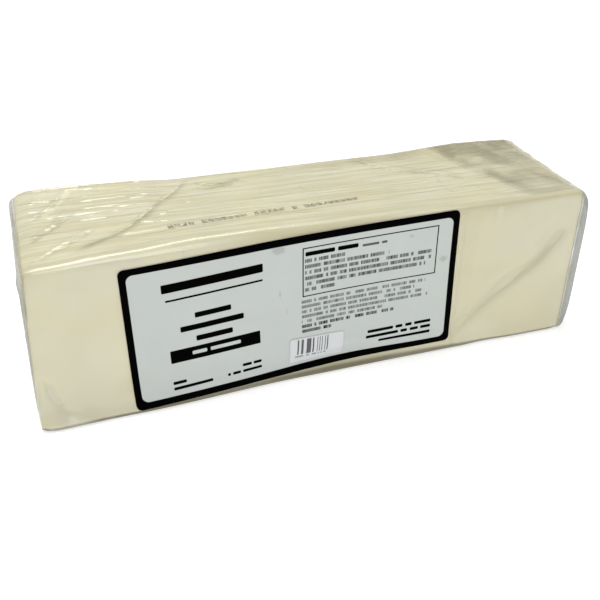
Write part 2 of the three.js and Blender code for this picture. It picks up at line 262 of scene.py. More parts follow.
def front_dents(x, z):
    right_crease = creased(x, z, RIGHT_FRONT_CREASE, 7.0, 2.2, 3.0, 0.13)
    left_crease = creased(x, z, LEFT_FRONT_CREASE, 2.6, 0.9, 1.9, 0.25)
    return right_crease + left_crease + sum(fold(x, z, *row) for row in FRONT_FOLDS)


def back_dents(x, z):
    joints = sum(
        fold(x, z, [(joint, 2), (joint, 86)], 1.2, 0.9, 0.05)
        for joint in PRESSED_ENDS[0] + (LAST_JOINT - PRESSED_ENDS[0]) * np.arange(1, 4) / 3
    )
    return joints + 0.2 * (1 + ripples(x, z, 9, 8, 30, 70))


# Wrinkles of the film over the top: line from above, width and height
TOP_WRINKLES = (
    ([(94.5, 78), (80.9, 60), (69.2, 45), (54.6, 28), (46.5, 21), (37, 16.7), (22, 8)], 2.0, 0.6),
    ([(91.5, 78), (78, 60), (66, 45), (51.5, 28), (43, 21), (33, 16.7), (20, 10)], 2.2, -0.5),
    ([(24.8, 76), (18.6, 63.2), (13.8, 55.5), (8.5, 50.8), (2.3, 47.7)], 1.1, 0.65),
    ([(28, 76), (21.6, 62), (16, 53.5), (9.5, 48.2), (2.3, 45)], 1.3, -0.5),
    ([(42, 79), (39.2, 72), (36, 66)], 1.2, 0.4),
    ([(25.1, 54.6), (20.4, 48.3), (15.7, 39.9), (8.4, 33.7), (2.5, 25)], 1.2, 0.55),
    ([(28.1, 53), (23, 46), (18, 38), (10, 31.5), (3.5, 23)], 1.4, -0.4),
    ([(34, 33), (28.6, 28.7), (18, 20.4), (9.9, 14.1), (4.1, 9.5), (1, 4)], 1.2, 0.6),
    ([(36, 30), (30, 26), (19.5, 17.8), (11.5, 12), (5.5, 7.5)], 1.4, -0.45),
    ([(9.3, 32.3), (6, 26.4), (2, 21)], 0.9, 0.35),
    ([(20, 34), (14, 27), (8, 21), (2.5, 15)], 1.0, 0.3),
    ([(12, 71), (7, 64), (2.5, 60)], 0.9, 0.35),
    ([(27.7, 60.4), (39.5, 61.2), (61.2, 61.1), (79, 61.3)], 1.0, 0.6),
    ([(89.6, 68.2), (97.7, 62.8), (114.6, 65.1)], 1.3, 0.45),
    ([(88, 65), (97, 60), (113, 62.5)], 1.3, -0.3),
    ([(189.3, 78), (193.8, 68.7), (200, 61.8), (210, 54), (222, 48), (236, 36)], 1.4, 0.6),
    ([(186, 76), (191, 66), (198, 58.5), (208, 51), (221, 44.5), (236, 32)], 1.8, -0.35),
    ([(224.9, 77), (229.9, 62.8), (235.6, 52.6), (239, 47)], 1.5, 0.5),
    ([(204, 17), (225.9, 19.5), (237, 23)], 1.6, 0.45),
    ([(150, 60), (163, 63), (178, 61)], 1.2, 0.25),
    ([(118, 45), (140, 47), (156, 44)], 1.0, 0.2),
    ([(90, 71), (97, 66), (106, 65), (118, 68)], 2.4, -0.35),
)

# The left edge of the film folded over the right of the top, from front to back, and its creases with
# painted shade:
# line, width, and how much cloudier and darker it is painted there, or clearer and lighter if negative
FLAP_EDGE = (257, 250, 242, 232)
FLAP_CREASES = (
    ([(238, 79), (243, 60), (248, 40), (256, 20), (262, 4)], 5.0, 0.1),
    ([(258, 79), (266, 58), (272, 36), (283, 12)], 3.0, 0.12),
    ([(242, 62), (250, 56), (256, 52)], 4.0, -0.3),
    ([(252, 48), (260, 40), (264, 32)], 4.0, -0.25),
    ([(250, 16), (262, 16), (283, 11)], 3.0, -0.12),
    ([(270, 78), (277, 60), (284, 46)], 2.0, 0.14),
)


def top_wrinkles(x, y):
    return sum(fold(x, y, line, 1.1 * width, 0.8 * height) for line, width, height in TOP_WRINKLES)


def wrinkle_haze(x, y):
    """Painted shade along the film's wrinkles: darker beige lines in the valleys and on the highest
    ridges, given as cloudiness of the film.
    """
    return sum(
        fold(x, y, line, 0.8 * width, 0.25 * height if height > 0 else min(0.36, -1.1 * height))
        for line, width, height in TOP_WRINKLES if height < 0 or height > 0.54
    )


def end_inset(x):
    """How far the film is drawn in towards the ends of the loaf."""
    inset = np.zeros(np.shape(x))
    for from_end, standoff in ((x, LEFT_STANDOFF), (LOAF_LENGTH - x, RIGHT_STANDOFF)):
        sine = np.clip((END_RADIUS - from_end) / (END_RADIUS + standoff), 0, 1)
        inset += END_RADIUS * (1 - np.sqrt(1 - sine**2))
    return inset


def at_end(x, left, right):
    """One value over the left half of the loaf and another over the right."""
    return np.where(x < LOAF_LENGTH / 2, left, right)


def in_frame(points):
    return (np.asarray(points) + LOAF_ORIGIN) * METRES


def new_object(name, data):
    """A new object in the scene."""
    piece = bpy.data.objects.new(name, data)
    bpy.context.collection.objects.link(piece)
    return piece


def mesh_piece(name, points, faces, material, **attributes):
    """A plain mesh from points in millimetres of the loaf, with values kept at its points."""
    mesh = bpy.data.meshes.new(name)
    mesh.from_pydata(in_frame(points).tolist(), [], faces)
    for key, values in attributes.items():
        values = np.asarray(values, np.float32)
        kind = "FLOAT" if values.ndim == 1 else "FLOAT_VECTOR"
        layer = mesh.attributes.new(key, kind, "POINT")
        layer.data.foreach_set("value" if kind == "FLOAT" else "vector", values.ravel())
    mesh.polygons.foreach_set("use_smooth", [True] * len(mesh.polygons))
    mesh.materials.append(material)
    mesh.update()
    return new_object(name, mesh)


# Node trees written as expressions


def sum_node(operation, swapped=False):
    """A method that puts its value and another one into a maths node."""
    def apply(self, *others):
        return self.nodes.math(operation, *((*others, self) if swapped else (self, *others)))
    return apply


class Value:
    """A socket that can be added, multiplied and compared like a number."""

    def __init__(self, nodes, socket):
        self.nodes = nodes
        self.socket = socket

    __add__ = sum_node("ADD")
    __radd__ = sum_node("ADD", swapped=True)
    __sub__ = sum_node("SUBTRACT")
    __rsub__ = sum_node("SUBTRACT", swapped=True)
    __mul__ = sum_node("MULTIPLY")
    __rmul__ = sum_node("MULTIPLY", swapped=True)
    __truediv__ = sum_node("DIVIDE")
    __pow__ = sum_node("POWER")
    __mod__ = sum_node("FLOORED_MODULO")
    __lt__ = sum_node("LESS_THAN")
    __gt__ = sum_node("GREATER_THAN")
    __abs__ = sum_node("ABSOLUTE")


class Nodes:
    """A node tree under construction."""

    def __init__(self, tree):
        self.tree = tree

    def add(self, kind, settings=None, output=None, **sockets):
        """A node of that kind. Its settings come first, then its sockets take values or links.
        A socket is named by its label, with _ for a space, or by its number as in at2."""
        node = self.tree.nodes.new(kind)
        for key, setting in (settings or {}).items():
            setattr(node, key, setting)
        for key, given in sockets.items():
            label = key.replace("_", " ")
            if key[2:].isdigit():
                socket = node.inputs[int(key[2:])]
            else:
                socket = next(s for s in node.inputs if s.name == label and s.enabled)
            if isinstance(given, Value):
                self.tree.links.new(given.socket, socket)
            else:
                socket.default_value = given
        found = [s for s in node.outputs if s.enabled and output in (None, s.name)]
        return Value(self, found[0]) if found else node

    def math(self, operation, *terms):
        return self.add("ShaderNodeMath", {"operation": operation}, **{
            "at" + str(i): term for i, term in enumerate(terms)
        })

    def floor(self, value):
        return self.math("FLOOR", value)

    def most(self, a, b):
        return self.math("MAXIMUM", a, b)

    def point(self, x=0.0, y=0.0, z=0.0):
        return self.add("ShaderNodeCombineXYZ", at0=x, at1=y, at2=z)

    def parts(self, vector):
        node = self.add("ShaderNodeSeparateXYZ", at0=vector).socket.node
        return [Value(self, socket) for socket in node.outputs]

    def ramp(self, value, low, high):
        """0 below low, 1 above high, smooth between."""
        return self.add(
            "ShaderNodeMapRange", {"interpolation_type": "SMOOTHSTEP"},
            Value=value, From_Min=low, From_Max=high,
        )

    def noise(self, vector, scale, detail=2.0, roughness=0.5):
        return self.add(
            "ShaderNodeTexNoise", {"noise_dimensions": "3D"}, Vector=vector, Scale=scale,
            Detail=detail, Roughness=roughness,
        )

    def colour(self, share, first, second):
        """Two colours mixed by a share."""
        return self.add("ShaderNodeMix", {"data_type": "RGBA"}, Factor=share, A=first, B=second)

    def chance(self, x, y):
        """A random value for each pair of whole numbers."""
        place = self.point(x, y)
        return self.add("ShaderNodeTexWhiteNoise", {"noise_dimensions": "2D"}, Vector=place)

    def attribute(self, name, output):
        return self.add("ShaderNodeAttribute", {"attribute_name": name}, output)

    def bump(self, height, strength, distance):
        return self.add("ShaderNodeBump", Strength=strength, Distance=distance, Height=height)

    def principled(self, **sockets):
        return self.add("ShaderNodeBsdfPrincipled", **sockets)


def shade(red, green, blue):
    """A colour given as its screen values from 0 to 255."""
    def linear(level):
        level /= 255
        return level / 12.92 if level <= 0.04045 else ((level + 0.055) / 1.055) ** 2.4
    return (linear(red), linear(green), linear(blue), 1.0)


def new_material(name):
    material = bpy.data.materials.new(name)
    material.use_nodes = True
    material.node_tree.nodes.clear()
    return material, Nodes(material.node_tree)


def shown(material, nodes, shader):
    nodes.add("ShaderNodeOutputMaterial", Surface=shader)
    return material


def loaf_place(nodes):
    """Object coordinates in millimetres."""
    place = nodes.add("ShaderNodeTexCoord", output="Object")
    return nodes.add("ShaderNodeVectorMath", {"operation": "SCALE"}, Vector=place, Scale=1 / METRES)


def streaks(nodes, place, width, length):
    """Fine uneven lines that run along the loaf, as the cut edges of slices do."""
    x, y, z = nodes.parts(place)
    return nodes.noise(nodes.point(x / length, y / width, z / length), 1.0, 1.5, 0.5)


def cheese_finish():
    material, nodes = new_material("white_cheese")
    place = loaf_place(nodes)
    tint = nodes.attribute("tint", "Fac")
    cloud = nodes.noise(place, 0.022, 2.0)
    mottle = nodes.noise(place, 0.09, 3.0, 0.6)
    warm = nodes.ramp(cloud + 0.35 * mottle, 0.56, 0.9)
    body = nodes.colour(warm, shade(213, 209, 184), shade(214, 208, 174))
    lines = nodes.ramp(streaks(nodes, place, 2.6, 70.0), 0.42, 0.62)
    upper = nodes.ramp(nodes.parts(place)[2], SLICE_HEIGHT - 12, SLICE_HEIGHT - 3)
    body = nodes.colour(lines * (0.3 + 0.6 * upper), body, shade(199, 192, 158))
    body = nodes.colour(tint * 0.2, body, shade(211, 206, 174))
    # Painted shade at the foot: a dark olive strip a few millimetres high along the bottom, taller in
    # the middle of the front, stands in for the shade on the rounded lower edge.
    across, _, height = nodes.parts(place)
    strip = 2.2 + 2.0 * nodes.ramp(across, -105.0, -75.0) * (1 - nodes.ramp(across, 50.0, 110.0))
    low = 1 - nodes.ramp((height - 0.6 * mottle) / strip, 0.55, 1.15)
    body = nodes.colour(low * 0.95, body, shade(112, 107, 82))
    grain = nodes.noise(place, 1.3, 3.0, 0.6)
    shader = nodes.principled(
        Base_Color=body, Roughness=0.42 + 0.12 * mottle, Normal=nodes.bump(grain, 0.2, 0.0002),
        Subsurface_Weight=0.12, Subsurface_Radius=(2.0, 1.6, 0.8), Subsurface_Scale=0.001,
        Specular_IOR_Level=0.3,
    )
    return shown(material, nodes, shader)


def code_dots(nodes, place):
    """Faint rows of dots from an ink jet, in short blocks, over the front of the top."""
    x, y, z = nodes.parts(place)
    x, y = x - float(LOAF_ORIGIN[0]), y - float(LOAF_ORIGIN[1])
    tilt = math.atan2(CODE_END[1] - CODE_START[1], CODE_END[0] - CODE_START[0])
    x, y = x - CODE_START[0], y - CODE_START[1]
    along = x * math.cos(tilt) + y * math.sin(tilt)
    over = y * math.cos(tilt) - x * math.sin(tilt)
    over = over + (nodes.noise(nodes.point(along / 9), 1.0, 1.0) - 0.5)
    column, row = nodes.floor(along / CODE_PITCH), nodes.floor(over / CODE_PITCH)
    block = nodes.add(
        "ShaderNodeTexWhiteNoise", {"noise_dimensions": "1D"},
        W=nodes.floor(along / (CODE_PITCH * CODE_BLOCK)),
    )
    away_x = (along / CODE_PITCH) % 1.0 - 0.5
    away_y = (over / CODE_PITCH) % 1.0 - 0.5
    dot = 1 - nodes.ramp((away_x * away_x + away_y * away_y) ** 0.5, 0.34, 0.54)
    inside = (along > 0.0) * (along < CODE_LENGTH) * (over > 0.0)
    inside = inside * (over < CODE_PITCH * CODE_BLOCK) * (z > SLICE_HEIGHT - 6)
    gap = ((column + 0.5) / CODE_BLOCK % 1.0) < 0.8
    return dot * inside * gap * (nodes.chance(column, row) > 0.42) * (block > 0.14)


def grazing_gloss(nodes, bump):
    """How much of the light clear film mirrors: little when seen square on, much at a slant.
    It is the same from both sides, because the film is a single thin skin."""
    slant = nodes.add("ShaderNodeLayerWeight", output="Facing", Blend=0.5, Normal=bump)
    return 0.05 + 0.95 * slant ** 5.0


def film_finish(name, share_of_gloss):
    material, nodes = new_material(name)
    place = loaf_place(nodes)
    haze = nodes.attribute("haze", "Fac")
    bump = nodes.bump(nodes.noise(place, 0.14, 2.0, 0.5), 0.15, 0.0005)
    gloss = nodes.add(
        "ShaderNodeBsdfAnisotropic", {"distribution": "GGX"}, Color=(1, 1, 1, 1), Roughness=0.17,
        Normal=bump,
    )
    clear = nodes.add("ShaderNodeBsdfTransparent", Color=(0.992, 0.992, 0.99, 1))
    mirrored = grazing_gloss(nodes, bump) * share_of_gloss
    tight = nodes.add("ShaderNodeMixShader", at0=mirrored, at1=clear, at2=gloss)
    patch = nodes.ramp(nodes.noise(place, 0.05, 2.0, 0.5), 0.25, 0.7)
    cloudy = haze * (patch * (1 - haze) + haze)
    dots = code_dots(nodes, place)
    # The milky tone is dark beige where the film is a little cloudy, so it also paints shade along the
    # wrinkles, creases and back edge of the top; where the film is very cloudy, at the rims, the tone
    # is grey.
    tone = nodes.colour(nodes.ramp(haze, 0.5, 0.8), shade(166, 161, 133), shade(147, 148, 140))
    tone = nodes.colour(dots, tone, shade(96, 88, 72))
    milk = nodes.principled(Base_Color=tone, Roughness=0.35, Normal=bump)
    cover = nodes.most(cloudy, dots * 0.9)
    shader = nodes.add("ShaderNodeMixShader", at0=cover, at1=tight, at2=milk)
    return shown(material, nodes, shader)


# Label: the bottom and top of its rows of bars, and where each bar starts and ends

LEFT_BARS = (
    (63.4, 68.2, (18.8, 68.6)), (46.4, 49.4, (33.6, 51.8)), (39.6, 42.8, (26.0, 57.9)),
    (32.8, 35.9, (33.4, 51.9)), (9.8, 11.5, (19.6, 26.4)), (6.8, 8.4, (19.6, 39.8)),
    (10.6, 12.3, (55.8, 60.6), (61.6, 65.9)), (7.0, 8.6, (47.7, 49.2), (50.4, 54.6), (55.8, 66.0)),
)
RIGHT_BARS = (
    (67.9, 70.3, (90.4, 105.8), (107.4, 118.2)),
    (14.6, 16.4, (124.9, 139.6), (141.0, 145.0), (146.6, 150.4), (151.8, 161.4)),
    (11.3, 13.1, (124.0, 142.6), (144.0, 147.8), (149.4, 154.2), (155.6, 161.4)),
    (7.6, 9.4, (131.5, 161.4)),
)

# Blocks of small print: left, top, pitch and height of the lines, their right ends and strength
SMALL_PRINT = (
    (90.2, 66.4, 3.36, 2.3, (111.8, 135.3, 158.8, 158.9, 155.8, 107.8), 0.9),
    (88.3, 42.6, 2.93, 2.0, (156.6, 150.6, 154.8, 158.4, 133.0), 0.75),
    (88.3, 28.0, 2.9, 2.1, (139.4, 104.4), 1.0),
)


def label_place(nodes):
    """The nodes, and how far across and up from the label's lower left corner, in millimetres."""
    across, up, _ = nodes.parts(nodes.attribute("print", "Vector"))
    return nodes, across, up


def field(place, left, bottom, right, top, corner=0.3, blur=0.1):
    """1 inside a rounded field, 0 outside it."""
    nodes, across, up = place
    half_width, half_height = (right - left) / 2, (top - bottom) / 2
    beyond_x = nodes.most(abs(across - (left + right) / 2) - (half_width - corner), 0.0)
    beyond_y = nodes.most(abs(up - (bottom + top) / 2) - (half_height - corner), 0.0)
    away = (beyond_x * beyond_x + beyond_y * beyond_y) ** 0.5
    return 1 - nodes.ramp(away, corner - blur, corner + blur)


def chance_along(nodes, across, cell, seed):
    """A random value for each cell across a printed line."""
    return nodes.chance(nodes.floor(across / cell), seed)


def plain_bars(place, bottom, top, *spans):
    """Plain bars in a row, where a real label would carry words."""
    bars = 0.0
    for left, right in spans:
        bar = field(place, left, bottom, right, top, min(0.6, (top - bottom) * 0.3))
        bars = place[0].most(bars, bar)
    return bars


def grey_lines(place, left, top, pitch, height, ends, strength):
    """Broken lines of small print as plain dashes: one for each right end, from the top down."""
    nodes, across, up = place
    row = nodes.floor((top - up) / pitch)
    right = 0.0
    for number, end in enumerate(ends):
        right = right + (abs(row - number) < 0.5) * end
    share = ((top - up) / pitch) % 1.0
    foot = height / pitch
    stripe = nodes.ramp(share, 0.0, 0.08) * (1 - nodes.ramp(share, foot - 0.08, foot))
    words = chance_along(nodes, across, 1.25, row) > 0.17
    strokes = 0.45 + 0.55 * chance_along(nodes, across, 0.42, row + 50)
    inside = (across > left) * (across < right) * (row > -0.5) * (row < len(ends) - 0.5)
    return stripe * words * strokes * inside * strength


def framed(place, left, bottom, right, top, width):
    outer = field(place, left, bottom, right, top, 0.2)
    inner = field(place, left + width, bottom + width, right - width, top - width, 0.15)
    return outer * (1 - inner)


def label_print(place):
    """Where the label is black: its border, and plain bars and dashes in place of words."""
    nodes, across, up = place
    black = 1 - field(
        place, BORDER_WIDTH, BORDER_WIDTH, LABEL_WIDTH - BORDER_WIDTH,
        LABEL_HEIGHT - BORDER_WIDTH, BORDER_INNER_CORNER,
    )
    raised = nodes, across, up - (across - 43) * 0.026
    bar = field(raised, 19.8, 22.3, 65.9, 29.9, 0.5)
    light = plain_bars(raised, 25.2, 27.3, (30.8, 38.2), (40.0, 55.6))
    ink = [plain_bars(raised, *row) for row in LEFT_BARS]
    ink += [plain_bars(place, *row) for row in RIGHT_BARS]
    ink += [grey_lines(place, *block) for block in SMALL_PRINT]
    ink.append(field(raised, 20.2, 58.3, 68.3, 59.4, 0.2))
    ink.append(bar * (1 - light))
    ink.append(framed(place, 88.9, 44.5, 162.0, 72.8, 0.62))
    ink.append(0.8 * plain_bars(place, 67.7, 69.1, (120.4, 129.4), (130.8, 133.8)))
    for mark in ink:
        black = nodes.most(black, mark)
    return black


def label_finish():
    material, nodes = new_material("printed_label")
    _, across, up = label_place(nodes)
    black = label_print((nodes, across, up))
    place = loaf_place(nodes)
    mottle = nodes.noise(place, 0.06, 2.0)
    scuff = nodes.noise(place, 0.4, 3.0, 0.7)
    smudge = 0.0
    for x, y, wide, tall, depth in LABEL_SMUDGES:
        away = (((across - x) / wide) ** 2.0 + ((up - y) / tall) ** 2.0) ** 0.5
        smudge = nodes.most(smudge, depth * (1 - nodes.ramp(away + scuff - 0.5, 0.5, 1.1)))
    paper = nodes.colour(mottle, shade(191, 196, 192), shade(196, 201, 197))
    paper = nodes.colour(smudge, paper, shade(152, 156, 152))
    body = nodes.colour(black, paper, shade(2, 2, 2))
    rough = 0.5 + 0.08 * mottle
    shader = nodes.principled(Base_Color=body, Roughness=rough, Specular_IOR_Level=0.01)
    return shown(material, nodes, shader)


def sticker_finish():
    material, nodes = new_material("barcode_sticker")
    _, across, up = label_place(nodes)
    lean = across - (up - 9.5) * 0.03
    bars = chance_along(nodes, lean, 0.42, 3.0) > 0.5
    zone = field((nodes, lean, up), 3.2, 5.4, 21.2, 14.6, 0.05)
    marks = chance_along(nodes, lean, 0.8, 9.0) > 0.3
    marks = 0.7 * marks * field((nodes, lean, up), 3.4, 3.3, 20.6, 4.5, 0.05)
    ink = nodes.most(bars * zone, marks)
    body = nodes.colour(ink, shade(209, 211, 212), shade(22, 22, 24))
    shader = nodes.principled(Base_Color=body, Roughness=0.5, Specular_IOR_Level=0.2)
    return shown(material, nodes, shader)


# Slices of cheese


def slice_shape(nodes, width, thickness, height, columns, layers, rows, crown, foot_share):
    """One slice standing on edge about its middle, with crowned edges."""
    size = nodes.point(width, thickness, height)
    slab = nodes.add(
        "GeometryNodeMeshCube", Size=size, Vertices_X=columns, Vertices_Y=layers, Vertices_Z=rows,
    )
    x, y, z = nodes.parts(nodes.add("GeometryNodeInputPosition"))
    share_x = abs(x) * 2 / width
    toward_end = 1 - (1 - share_x) ** 1.5
    new_x = nodes.math("SIGN", x) * width * 0.5 * toward_end
    share_z = nodes.most(z / height + 0.5, 0.0)
    new_z = (share_z ** foot_share - 0.5) * height
    edge = abs(z) > height * 0.499
    drop = crown * (y * 2 / thickness) ** 2.0 * edge * nodes.math("SIGN", z)
    position = nodes.point(new_x, y, new_z - drop)
    return nodes.add("GeometryNodeSetPosition", Geometry=slab, Position=position)


SLICE_INPUTS = {
    "Stacks": STACKS, "Slices in a stack": SLICES_PER_STACK, "Width": SLICE_WIDTH,
    "Thickness": SLICE_THICKNESS, "Height": SLICE_TOP, "Gap": -0.05, "Crown": 0.11,
    "Play": 0.07, "Ripple": 0.5, "Seed": 11,
}

# Vertices along, through and up a slice, and how much finer they are at its foot
FRONT_SLICE = (37, 4, 45, 1.0)
INNER_SLICE = (13, 3, 5, 1.8)


def slices_tree(material):
    """Geometry nodes that stand the slices in their stacks, with a fine one at the front."""
    tree = bpy.data.node_groups.new("stacks_of_slices", "GeometryNodeTree")
    for label, size in SLICE_INPUTS.items():
        kind = "NodeSocketInt" if isinstance(size, int) else "NodeSocketFloat"
        tree.interface.new_socket(name=label, in_out="INPUT", socket_type=kind)
    tree.interface.new_socket(name="Slices", in_out="OUTPUT", socket_type="NodeSocketGeometry")
    nodes = Nodes(tree)
    given = tree.nodes.new("NodeGroupInput")
    (stacks, slices, width, thickness, height, gap, crown, play, ripple, seed) = [
        Value(nodes, socket) for socket in given.outputs[:len(SLICE_INPUTS)]
    ]
    index = nodes.add("GeometryNodeInputIndex")
    stack = nodes.floor((index + 0.5) / slices)
    row = index - stack * slices

    def chance(offset):
        return nodes.add(
            "FunctionNodeRandomValue", {"data_type": "FLOAT"}, at2=-1.0, at3=1.0, at7=index,
            at8=seed + offset,
        )

    in_front = row < 0.5
    middle = nodes.point(
        (stack + 0.5) * width + 0.3 * play * chance(1.0),
        (row + 0.5) * thickness,
        height / 2 + play * chance(2.0),
    )
    places = nodes.add("GeometryNodePoints", Count=stacks * slices, Position=middle)
    places = nodes.add(
        "GeometryNodeStoreNamedAttribute", {"data_type": "FLOAT", "domain": "POINT"},
        Geometry=places, Name="tint", Value=chance(3.0) * 0.5 + 0.5,
    )
    turn = nodes.point(0.0, 0.0025 * chance(4.0), 0.0)
    joined = tree.nodes.new("GeometryNodeJoinGeometry")
    for chosen, layout in ((in_front, FRONT_SLICE), (1 - in_front, INNER_SLICE)):
        shape = slice_shape(
            nodes, width - gap, thickness - 0.02, height, *layout[:3], crown, layout[3]
        )
        group = nodes.add(
            "GeometryNodeInstanceOnPoints", Points=places, Selection=chosen, Instance=shape,
            Rotation=turn,
        )
        tree.links.new(group.socket, joined.inputs[0])
    solid = nodes.add("GeometryNodeRealizeInstances", Geometry=Value(nodes, joined.outputs[0]))
    x, y, z = nodes.parts(nodes.add("GeometryNodeInputPosition"))
    stack_here = nodes.floor(x / width)
    share = x / width - stack_here
    from_joint = nodes.math("MINIMUM", share, 1 - share)
    high = nodes.ramp(z / height, 0.6, 1.0) * nodes.ramp(from_joint, 0.0, 0.14)
    behind = nodes.ramp(y, 1.0, 8.0)
    sway = nodes.noise(nodes.point(x / 34, y / 9, stack_here * 7.3), 1.0, 1.0)
    swell = nodes.noise(nodes.point(x / 30, y / 3.4, stack_here * 5.1 + 40), 1.0, 1.0)
    shift = nodes.point(
        0.0, (sway - 0.5) * 3.0 * ripple * behind * high, (swell - 0.5) * 2.4 * ripple * high
    )
    rippled = nodes.add("GeometryNodeSetPosition", Geometry=solid, Offset=shift)
    painted = nodes.add("GeometryNodeSetMaterial", Geometry=rippled, Material=material)
    out = tree.nodes.new("NodeGroupOutput")
    tree.links.new(painted.socket, out.inputs[0])
    return tree


def stacked_slices(material):
    """The slices as one plain mesh, settled and pressed in by the film."""
    tree = slices_tree(material)
    holder = new_object("slices_holder", bpy.data.meshes.new("slices_holder"))
    modifier = holder.modifiers.new("slices", "NODES")
    modifier.node_group = tree
    for item in tree.interface.items_tree:
        if item.in_out == "INPUT":
            modifier[item.identifier] = SLICE_INPUTS[item.name]
    graph = bpy.context.evaluated_depsgraph_get()
    mesh = bpy.data.meshes.new_from_object(holder.evaluated_get(graph))
    holder.modifiers.remove(modifier)
    bpy.data.objects.remove(holder)
    points = np.empty(len(mesh.vertices) * 3)
    mesh.vertices.foreach_get("co", points)
    points = press_in(points.reshape(-1, 3))
    mesh.vertices.foreach_set("co", in_frame(points).ravel())
    mesh.polygons.foreach_set("use_smooth", [True] * len(mesh.polygons))
    mesh.set_sharp_from_angle(angle=math.radians(40))
    mesh.update()
    mesh.name = "cheese_slices"
    return new_object("cheese_slices", mesh), points


def rounded_edge(y, z, radius, middle_y, middle_z):
    """Moves what lies outside a rounded long edge onto its arc."""
    outside = (y < middle_y) & (z > middle_z)
    away = np.maximum(np.hypot(y - middle_y, z - middle_z), 1e-6)
    pull = np.where(outside & (away > radius), radius / away, 1.0)
    return middle_y + (y - middle_y) * pull, middle_z + (z - middle_z) * pull


def press_in(points):
    """Keeps the slices inside the film: smooths and rounds the loaf's edges, dents its front."""
    x, y, z = points.T.copy()
    shows = smoothstep((y - smooth_strip(x)) / 5)
    z = np.where(z > SLICE_TOP - 3, SLICE_TOP + (z - SLICE_TOP) * (0.12 + 0.88 * shows), z) + 0.2
    x = np.interp(x, STACK_ENDS, PRESSED_ENDS)
    x = x + 0.8 * smoothstep((z - 58) / 10) * np.clip(1 - x / 60, 0, 1)
    inset = end_inset(x)
    rise, fall = inset * at_end(x, *FOOT_SHARES), inset * at_end(x, *TOP_SHARES)
    lowest, highest = 0.25 + rise, SLICE_HEIGHT - fall
    z = np.where(z > SLICE_HEIGHT / 2, np.minimum(z, highest), np.maximum(z, lowest))
    side = END_SHARPNESS * inset + 0.3
    y = np.clip(y, side, LOAF_DEPTH - side)
    top = SLICE_HEIGHT - 0.15 - fall
    radius = edge_radius(x)
    y, z = rounded_edge(y, z, radius, side + radius, top - radius)
    back, z = rounded_edge(LOAF_DEPTH - y, z, TOP_RADIUS, side + TOP_RADIUS, top - TOP_RADIUS)
    low = BOTTOM_RADIUS + 0.3
    y, under = rounded_edge(LOAF_DEPTH - back, -z, BOTTOM_RADIUS, side + low, -low - rise)
    back, under = rounded_edge(LOAF_DEPTH - y, under, BOTTOM_RADIUS, side + low, -low - rise)
    y, z = LOAF_DEPTH - back, -under
    near_front = np.clip(1 - y / 10, 0, 1) ** 2
    near_back = np.clip(1 - (LOAF_DEPTH - y) / 10, 0, 1) ** 2
    y = y + near_front * front_dents(x, z) - near_back * back_dents(x, z)
    return settle(np.column_stack([x, y, z]))


# Film


def film_section():
    """Points around the film with the way out at each: down the front, under, up and over."""
    near, far = TOP_RADIUS, LOAF_DEPTH - TOP_RADIUS
    low, high = BOTTOM_RADIUS, SLICE_HEIGHT - TOP_RADIUS
    corners = (
        (near, high, TOP_RADIUS, 8, 1.6), (low, low, BOTTOM_RADIUS, 4, 4.8),
        (LOAF_DEPTH - low, low, BOTTOM_RADIUS, 4, 2.4), (far, high, TOP_RADIUS, 8, TOP_STEP),
    )
    section = []
    for number, (y, z, radius, count, step) in enumerate(corners):
        turns = math.pi / 2 * (number + 1 + np.arange(count + 1) / count)
        out = np.column_stack([np.cos(turns), np.sin(turns)])
        bend = np.array([y, z]) + radius * out
        next_y, next_z, next_radius = corners[(number + 1) % 4][:3]
        start, end = bend[-1], np.array([next_y, next_z]) + next_radius * out[-1]
        steps = round(math.dist(start, end) / step)
        share = (np.arange(steps) / steps)[:, None]
        section.append(np.column_stack([bend, out])[:-1])
        section.append(np.column_stack([start * (1 - share) + end * share, out[-1:].repeat(steps, 0)]))
    return np.vstack(section)


def film_rings():
    """Places along the loaf, with how far each ring is drawn in, closed and sunk at an end."""
    body = np.linspace(END_RADIUS, LOAF_LENGTH - END_RADIUS, round((LOAF_LENGTH - 14) / LENGTH_STEP))
    left, right = [], []
    for rings, side, edge, standoff, cheese_end in (
        (left, -1, 0.0, LEFT_STANDOFF, PRESSED_ENDS[0]),
        (right, 1, LOAF_LENGTH, RIGHT_STANDOFF, PRESSED_ENDS[2]),
    ):
        for turn in np.radians(np.linspace(9, 90, 10)):
            x = edge + side * ((END_RADIUS + standoff) * math.sin(turn) - END_RADIUS)
            rings.append((x, END_RADIUS * (1 - math.cos(turn)), 0.0, 0.0))
        depth = abs(x - cheese_end) - 0.4
        for close in (0.02, 0.04, 0.07, 0.1, 0.14, 0.2, 0.28, 0.4, 0.52, 0.64, 0.76, 0.88, 0.97):
            rings.append((x, END_RADIUS, close, depth * smoothstep((close - 0.02) / 0.12)))
    return np.array(left[::-1] + [(x, 0.0, 0.0, 0.0) for x in body] + right)


def neighbour(values, shift, axis, closed):
    """The values next to each along an axis. At an open end a value is its own neighbour."""
    moved = np.roll(values, shift, axis)
    if not closed:
        edge = [slice(None)] * 2
        edge[axis] = slice(0, 1) if shift > 0 else slice(-1, None)
        moved[tuple(edge)] = values[tuple(edge)]
    return moved


def spread_out(values, axis, closed=False):
    """The largest of each value and its neighbours, as film pulled over bumps."""
    before, after = (neighbour(values, shift, axis, closed) for shift in (1, -1))
    return np.maximum(values, np.maximum(before, after))


def soften(values, times, axis, closed=False):
    for _ in range(times):
        before, after = (neighbour(values, shift, axis, closed) for shift in (1, -1))
        values = 0.25 * before + 0.5 * values + 0.25 * after
    return values


